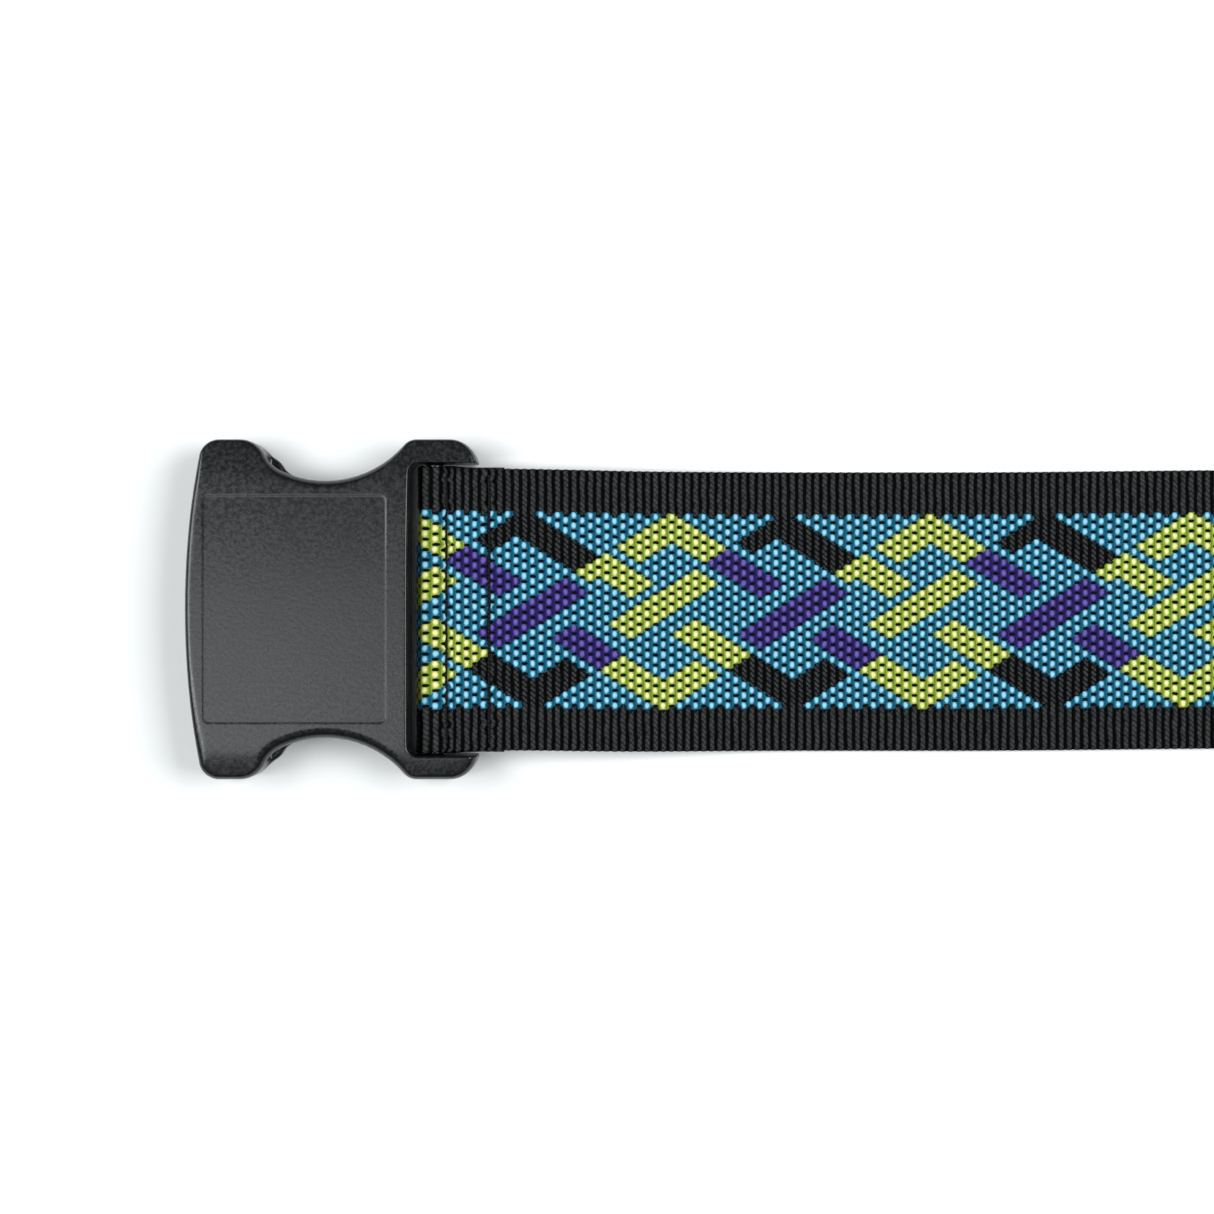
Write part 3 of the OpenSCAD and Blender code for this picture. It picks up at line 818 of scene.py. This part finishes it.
def webbing_path():
    p = Path(TAB_END, BAR_Z - HALF_T, 180)
    fillet = 1.5
    tangent = np.array([LOOP_R * cos(radians(APEX)), LOOP_R * sin(radians(APEX))])
    drop = tangent[1] - HALF_T
    bend_x = tangent[0] + drop / np.tan(radians(SLOPE))
    cut = fillet * np.tan(radians(SLOPE / 2))
    slant = drop / sin(radians(SLOPE)) - cut
    tab = TAB_END - BAR_X - bend_x - cut
    p.line(tab).turn(fillet, SLOPE).line(slant)
    p.turn(LOOP_R, -(180 + 2 * SLOPE))
    p.line(slant).turn(fillet, SLOPE).line(tab).mark("double_end")
    p.fall(FALL_LONG, HALF_T).mark("table")
    # heights of the roll's six layers: a is the strand that winds in, b the one that comes back out
    a0, b0, a2, b2, b1, a1 = (HALF_T + LAYER * k for k in range(6))
    p.line(ROLL_X - BEFORE_ROLL - p.x).mark("roll_starts")
    p.line(ROLL_END - p.x)
    p.turn((a1 - a0) / 2, 180).line(p.x - ROLL_X)
    p.turn((a1 - a2) / 2, 180).line(ROLL_END - p.x)
    p.turn((b2 - a2) / 2, 180).line(p.x - ROLL_X)
    p.turn((b1 - b2) / 2, -180).line(ROLL_END - p.x)
    p.turn((b1 - b0) / 2, -180).line(p.x - ROLL_X).mark("rise_starts")
    top = TOP_Z + HALF_T
    p.turn((top - b0) / 2, -180)
    p.line(LIFT_X - BEFORE_LIFT - p.x).mark("turn_starts")
    p.line(ROOT_END - p.x).mark("run_starts")
    p.line(LOOP_START - p.x).mark("loop_starts")
    # round the plug's middle bar, over it and down to the tail
    leave, soft = 50.0, 3.0
    p.line(PLUG_X - p.x).turn(PLUG_LOOP_IN + HALF_T, 180 + leave)
    slant = (p.z - soft * (1 - cos(radians(leave))) - (TAIL_Z + HALF_T)) / sin(radians(leave))
    p.line(slant).turn(soft, -leave).line(p.x - LOOP_START).mark("tail_starts")
    p.line(p.x - HEM_START).mark("hem_starts")
    p.line(p.x - HEM_END - STRAP_T).turn(HALF_T, -180)
    p.line(HEM_START - p.x - 0.2).mark("end")
    return p


PATH = webbing_path()
LINE = np.array(PATH.points)
LINE_S = np.concatenate([[0], np.cumsum(np.hypot(*np.diff(LINE, axis=0).T))])
MARK = PATH.marks


def on_line(s):
    """Places and left-hand normals along the centreline."""
    x, z = np.interp(s, LINE_S, LINE[:, 0]), np.interp(s, LINE_S, LINE[:, 1])
    e = 0.12                              # the slope is taken over this length either way
    a, b = np.clip(s - e, 0, LINE_S[-1]), np.clip(s + e, 0, LINE_S[-1])
    tx = np.interp(b, LINE_S, LINE[:, 0]) - np.interp(a, LINE_S, LINE[:, 0])
    tz = np.interp(b, LINE_S, LINE[:, 1]) - np.interp(a, LINE_S, LINE[:, 1])
    n = np.hypot(tx, tz)
    return x, z, -tz / n, tx / n


RIB_ZERO_S = MARK["table"] + FIRST_RIB_X - (TAB_END + FALL_LONG)


# ---------------------------------------------------------------- the woven pattern
# Each band is a yarn and the range of its two diagonals: a = rib + step and b = rib - step
LIME, VIOLET, BLACK, TEAL = range(4)
BANDS = [
    (LIME, -1, 5, 25, 39), (LIME, -1, 13, 33, 39),        # upper chevron
    (LIME, -1, 11, 17, 23), (LIME, -1, 3, 15, 17),        # short band beside it
    (LIME, 13, 19, 9, 31),                                # long rising band
    (LIME, 23, 37, 15, 21),                               # falling band
    (LIME, 21, 37, -1, 5), (LIME, 31, 37, -1, 13),        # lower chevron
    (VIOLET, 13, 27, 33, 39), (VIOLET, -1, 5, -9, 13), (VIOLET, 9, 21, -1, 5),
    (BLACK, -19, -1, 15, 21), (BLACK, -19, -15, 9, 21),   # upper black chevron
    (BLACK, 5, 21, -17, -11), (BLACK, 15, 21, -17, -3),   # lower black chevron
]
# each yarn's colour as on the shaded sides of its dots (DARK), and the painted highlight on the dots (LIGHT)
DARK = np.array([linear(c) for c in ("#8fa838", "#2e2566", "#080809", "#1b6884")])
LIGHT = np.array([linear(c) for c in ("#f6eca6", "#6e5cac", "#2a2a2c", "#9cd6ef")])


def yarn_at(rib, step):
    """Number of the yarn on top at the dot nearest each place."""
    a, b = 2 * np.round((rib + step) / 2), 2 * np.round((rib - step) / 2)
    yarn = np.full(a.shape, TEAL)
    for shift in range(-REPEAT, REPEAT + 1, REPEAT):
        turn = REPEAT * np.floor(rib / REPEAT) + shift
        for colour, a0, a1, b0, b1 in BANDS:
            hit = (a - turn > a0) & (a - turn < a1) & (b - turn > b0) & (b - turn < b1)
            yarn[hit] = colour
    row = (a - b) / 2
    yarn[(row < -BAND - 0.5) | (row > BAND - 0.5)] = BLACK
    return yarn


# ---------------------------------------------------------------- webbing pieces
FINE = RIB / 4                     # gap between rows where the weave shows
WIDE = 8.0                         # and inside the roll, unless a zone asks for less
COARSEST_RELIEF = 0.8              # zones with wider gaps than this stay smooth


def s_at_x(x, start, end):
    """Distance along the line where it passes x, on the stretch from start to end."""
    keep = (LINE_S >= start) & (LINE_S <= end)
    xs, ss = LINE[keep, 0], LINE_S[keep]
    order = np.argsort(xs)
    return float(np.interp(x, xs[order], ss[order]))


BOTTOM_INNER = s_at_x(ROW_INNER, 0, 12)
BOTTOM_OUTER = s_at_x(ROW_OUTER, 0, 12)
TOP_INNER = s_at_x(ROW_INNER, MARK["double_end"] - 12, MARK["double_end"])
TOP_OUTER = s_at_x(ROW_OUTER, MARK["double_end"] - 12, MARK["double_end"])
HEM_LOW = s_at_x(ROW_HEM, MARK["hem_starts"], MARK["hem_starts"] + 10)
HEM_HIGH = s_at_x(ROW_HEM, MARK["end"] - 10, MARK["end"])
SEAMS = (BOTTOM_INNER, BOTTOM_OUTER, TOP_INNER, TOP_OUTER, HEM_LOW, HEM_HIGH)


def sideways(s):
    """The strap runs very slightly askew between the buckle and the roll."""
    u = smooth_step((s - TOP_OUTER - 2) / 30)
    v = smooth_step((s - MARK["roll_starts"] + 60) / 60)
    return -0.06 * (1 - v) - 0.37 * u + 0.37 * v


def rows(start, end, zones):
    """Places along the line, with the gap that each zone (from, to, gap) asks for.

    Fine ones fall in step with the ribs.
    """
    out, s = [start], start
    while s < end:
        gap = WIDE
        for a, b, g in zones:
            if a <= s < b:
                gap = g
        # never step far into a finer zone
        for a, b, g in zones:
            if s < a < s + gap and g < gap:
                gap = max(a - s, g)
        s = s + gap
        if gap == FINE:
            s = RIB_ZERO_S + FINE * round((s - RIB_ZERO_S) / FINE)
        out.append(min(s, end))
    if len(out) > 2 and out[-1] - out[-2] < 0.1:
        out.pop(-2)
    return np.array(out)


def fineness(s, zones):
    """1 where the relief is modelled, 0 on hidden stretches with few rows."""
    f = np.zeros_like(s)
    for a, b, g in zones:
        if g < COARSEST_RELIEF:
            f = np.maximum(f, smooth_step((s - a) / 1.5 + 0.5) * smooth_step((b - s) / 1.5 + 0.5))
    return f


SELVAGE = 0.55                     # width of the rounded edge
SELVAGE_TURN = np.radians([60, 30, 0, -30, -60])
FLAT_HALF = STRAP_W / 2 - SELVAGE
HIDDEN_COLUMNS = 18                # columns on a back whose weave isn't modelled
ON_FACE = 0.99                     # 'side' is 1 on the front and -1 on the back


def ring(shown_back):
    """Columns round the webbing, as places across it and sides: front, one selvage, back, other selvage."""
    reach = int(FLAT_HALF / (STEP / 2))
    inner = np.arange(-reach, reach + 1) * STEP / 2
    front = np.concatenate([[-FLAT_HALF], inner, [FLAT_HALF]])
    back = front[::-1] if shown_back else np.linspace(FLAT_HALF, -FLAT_HALF, HIDDEN_COLUMNS)
    selvage = FLAT_HALF + SELVAGE * np.cos(SELVAGE_TURN)
    v = np.concatenate([front, selvage, back, -selvage])
    turn = np.sin(SELVAGE_TURN)
    side = np.concatenate([np.ones(len(front)), turn, -np.ones(len(back)), -turn])
    return v, side


def weave_at(s, v):
    """Rib and half step at each place; the yarns beside a seam are tugged askew."""
    rib = (s[:, None] - RIB_ZERO_S) / RIB + 0 * v[None, :]
    step = -v[None, :] / STEP - 0.5 + 0 * s[:, None]
    near = sum(np.exp(-((s - c) / 1.3) ** 2) for c in SEAMS)[:, None]
    tug = np.sin(2 * pi * v / 3.2 + 0.6) + 0.7 * np.sin(2 * pi * v / 2.13 + 1.9) + 0.5 * np.sin(v * 4.7)
    rib = rib + 0.16 * (near * tug[None, :])
    step = step + 0.12 * near * np.sin(2 * pi * v / 3.2 + 2.4 + 1.5 * s[:, None])
    return rib, step


def relief(rib, step, side):
    """How deep each place lies under the webbing's full thickness."""
    dot = np.cos(pi * rib) * np.cos(pi * step)
    ridge = np.abs(np.cos(pi * rib))
    border = smooth_step((np.abs(step + 0.5) - BAND + 0.1) / 0.6)
    front = (1 - border) * (0.14 * (1 - dot) + 0.20 * (1 - ridge)) + border * 0.50 * (1 - ridge ** 1.3)
    back = 0.10 * (1 + dot) * (1 - border) + border * 0.20 * (1 - ridge)
    selvage = 0.14 * (1 - ridge)
    return np.where(side > ON_FACE, front, np.where(side < -ON_FACE, back, selvage))


def loosened(verts, s):
    """Moves the fold round the receptacle's bar out a little, away from the bar."""
    angle = np.degrees(np.arctan2(verts[..., 2] - BAR_Z, BAR_X - verts[..., 0]))
    in_fold = s < MARK["double_end"]
    # it hangs loose below the bar, out to the slot's wall, except at its +Y end
    loose = 1.35 * smooth_step(1.0 - np.abs(angle + 38) / 42) * in_fold[:, None]
    loose = loose * (0.05 + 0.95 * smooth_step((17.5 - verts[..., 1]) / 7))
    # and its upper side stays flat up to the bend
    loose += 0.5 * smooth_step(1.0 - np.abs(angle - 42) / 45) * ((s > 10) & in_fold)[:, None]
    verts[..., 0] -= loose * np.cos(np.radians(angle))
    verts[..., 2] += loose * np.sin(np.radians(angle))
    return verts


def webbing_verts(s, v, side, rib, step, fine):
    x, z, nx, nz = on_line(s)
    sunk = relief(rib, step, side[None, :]) * fine[:, None]
    pulled = sum(0.26 * np.exp(-((s - c) / 0.45) ** 2) for c in SEAMS)[:, None]
    height = side[None, :] * (HALF_T - 0.02) - np.sign(side[None, :]) * np.minimum(sunk + pulled, 0.55)
    selvage = 0.06 * np.cos(2 * pi * rib) * fine[:, None]
    rim = np.abs(v[None, :]) > FLAT_HALF + 0.05
    across = v[None, :] * (1 + 0 * s[:, None])
    across = across + np.sign(v[None, :]) * np.where(rim, selvage - 0.06, 0)
    # pressed a little wider where it is folded round the receptacle's bar
    pressed = 0.012 * smooth_step((TOP_OUTER - s) / 8)
    pressed = pressed + 0.011 * smooth_step((s - 6) / 4) * smooth_step((20 - s) / 4)
    across = across * (1 + pressed)[:, None] + sideways(s)[:, None]
    verts = np.stack([x[:, None] + nx[:, None] * height, across, z[:, None] + nz[:, None] * height], -1)
    return loosened(verts, s)


def ring_faces(n, m):
    """Quads between n rings of m columns."""
    i = np.arange(n - 1)[:, None] * m
    j = np.arange(m)[None, :]
    k = (j + 1) % m
    return np.stack([i + j, i + k, i + m + k, i + m + j], -1).reshape(-1, 4).tolist()


def end_faces(m, base, far):
    """Strips between front and back that close an end, from the middle of one selvage to the other."""
    middle = len(SELVAGE_TURN) // 2 + 1
    order = [(k - middle) % m + base for k in range(m)]
    faces = []
    for a in range((m - 1) // 2):
        b = m - 1 - a
        # the last strip is a triangle where the number of columns is odd
        face = tuple(dict.fromkeys((order[a], order[a + 1], order[b - 1], order[b])))
        faces.append(face if far else face[::-1])
    return faces


def webbing(name, start, end, zones, shown_back=False):
    """One piece of the webbing, from one distance along its line to another."""
    s = rows(start, end, zones)
    v, side = ring(shown_back)
    rib, step = weave_at(s, v)
    yarn = yarn_at(rib, step)
    yarn[np.broadcast_to(np.abs(side) < ON_FACE, yarn.shape)] = BLACK
    verts = webbing_verts(s, v, side, rib, step, fineness(s, zones)).reshape(-1, 3)

    n, m = len(s), len(v)
    quads = ring_faces(n, m)
    me = bpy.data.meshes.new(name)
    me.from_pydata((verts * MM).tolist(), [], quads + end_faces(m, 0, False) + end_faces(m, (n - 1) * m, True))
    me.update()
    me.polygons.foreach_set("use_smooth", np.arange(len(me.polygons)) < len(quads))
    o = in_scene(name, me, WEBBING)
    point_attribute(o, "plain", "FLOAT", (yarn == BLACK) * 1.0)
    point_attribute(o, "yarn", "FLOAT_COLOR", DARK[yarn])
    point_attribute(o, "painted_highlight", "FLOAT_COLOR", LIGHT[yarn])
    side_map = np.broadcast_to(side[None, :], rib.shape)
    point_attribute(o, "weave", "FLOAT_VECTOR", np.stack([rib, step, side_map], -1))
    return o


def build_webbing():
    m = MARK
    all_fine = [(0, LINE_S[-1] + 1, FINE)]
    front_end, rise = m["roll_starts"] + 6, m["rise_starts"] - 4
    # gaps of 1 mm where it lies hidden under the doubled end, 0.5 mm round the bar, fine where it shows
    zones = [(0, 12, 1.0), (12, 20, 0.5), (20, front_end, FINE), (rise, m["turn_starts"] + 1, FINE)]
    body = webbing("webbing_front_and_roll", 0, m["turn_starts"], zones + bends(front_end, rise))
    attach(body, "strap")
    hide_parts("strap_anchor_loop", "strap_front_run", "strap_roll")

    root = webbing("webbing_turn", m["turn_starts"], m["run_starts"], all_fine)
    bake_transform(root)
    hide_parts("strap_top_root")

    run = webbing("webbing_run", m["run_starts"], m["loop_starts"], all_fine)
    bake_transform(run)
    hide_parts("strap_plug_run")

    loop = webbing("webbing_plug_loop", m["loop_starts"], m["tail_starts"], all_fine, True)
    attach(loop, "plug")
    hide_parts("strap_plug_loop")

    tail = webbing("webbing_tail", m["tail_starts"], m["hem_starts"], all_fine, True)
    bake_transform(tail)
    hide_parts("strap_tail")

    hem = webbing("webbing_hem", m["hem_starts"], m["end"], all_fine, True)
    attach(hem, "tail")
    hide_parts("tail_hem")


def bends(start, end):
    """Finer rows where the hidden turns of the roll bend."""
    nx = on_line(LINE_S)[2]
    bent = (np.abs(nx) > 0.02) & (LINE_S > start) & (LINE_S < end)
    out, open_at = [], None
    for s, b in zip(LINE_S, bent):
        if b and open_at is None:
            open_at = s
        if not b and open_at is not None:
            out.append((open_at - 0.6, s + 0.6, 0.5 if s - open_at > 12 else 0.35))
            open_at = None
    return out


# ---------------------------------------------------------------- sewing
STITCH = 3.2                       # length of one stitch
PARTS = 8                          # points along one stitch
THREAD_R = 0.26
THREAD_SIDES = 8
SEWN_IN = 0.16                     # how deep the thread's middle lies under the webbing's full thickness


def thread_ring(c, t):
    """Points round the thread where its middle is c and it runs along t."""
    u = np.array([1.0, 0, 0])
    w = np.cross(t, u)
    turns = [2 * pi * k / THREAD_SIDES for k in range(THREAD_SIDES)]
    return [c + THREAD_R * (cos(a) * u + sin(a) * w) for a in turns]


def stitching(name, node, x, z_top, z_low, body):
    """A row of lock stitches: a thread above and a thread below, dipping together at each needle hole."""
    holes = int((STRAP_W - 2) / STITCH)
    sides = THREAD_SIDES
    verts, faces, ends, weave = [], [], [], []
    for z, way in ((z_top, 1), (z_low, -1)):
        points = []
        for k in range(holes * PARTS + 1):
            t = k / PARTS
            dip = 0.26 * (1 - abs(sin(pi * (t % 1))) ** 0.6)
            wobble = 0.05 * sin(2.3 * t + 1.7 * way)
            points.append((x + wobble, -holes * STITCH / 2 + STITCH * k / PARTS, z - way * dip))
        p = np.array(points)
        d = np.gradient(p, axis=0)
        d /= np.linalg.norm(d, axis=1, keepdims=True)
        run = np.concatenate([[0], np.cumsum(np.linalg.norm(np.diff(p, axis=0), axis=1))])
        base = len(verts)
        for c, t, along in zip(p, d, run):
            verts += thread_ring(c, t)
            weave += [(along, k / sides, 0) for k in range(sides)]
        for q in range(base, base + (len(p) - 1) * sides, sides):
            for k in range(sides):
                k1 = (k + 1) % sides
                faces.append((q + k, q + k1, q + sides + k1, q + sides + k))
        last = base + (len(p) - 1) * sides
        ends += [tuple(range(base, base + sides)), tuple(range(last, last + sides))[::-1]]
    me = bpy.data.meshes.new(name)
    me.from_pydata([tuple(v * MM) for v in verts], [], faces + ends)
    me.update()
    me.polygons.foreach_set("use_smooth", np.ones(len(me.polygons), bool))
    o = in_scene(name, me, THREAD)
    point_attribute(o, "weave", "FLOAT_VECTOR", weave)
    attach(o, body)
    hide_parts(node)


def build_stitching():
    grip = HALF_T - SEWN_IN
    for name, node, row_top, row_low, x in (
        ("stitch_row_inner", "anchor_stitching_inner", TOP_INNER, BOTTOM_INNER, ROW_INNER),
        ("stitch_row_outer", "anchor_stitching_outer", TOP_OUTER, BOTTOM_OUTER, ROW_OUTER),
    ):
        z_top = on_line(np.array([row_top]))[1][0] + grip
        z_low = on_line(np.array([row_low]))[1][0] - grip
        stitching(name, node, x, z_top, z_low, "strap")
    hem_top, hem_low = TAIL_Z + 2 * STRAP_T - SEWN_IN, TAIL_Z + SEWN_IN
    stitching("stitch_row_hem", "hem_stitching", ROW_HEM, hem_top, hem_low, "tail")


build_receptacle()
build_plug()
build_arm(1, "latch_arm_upper", "plug_arm_upper")
build_arm(-1, "latch_arm_lower", "plug_arm_lower")
build_webbing()
build_stitching()
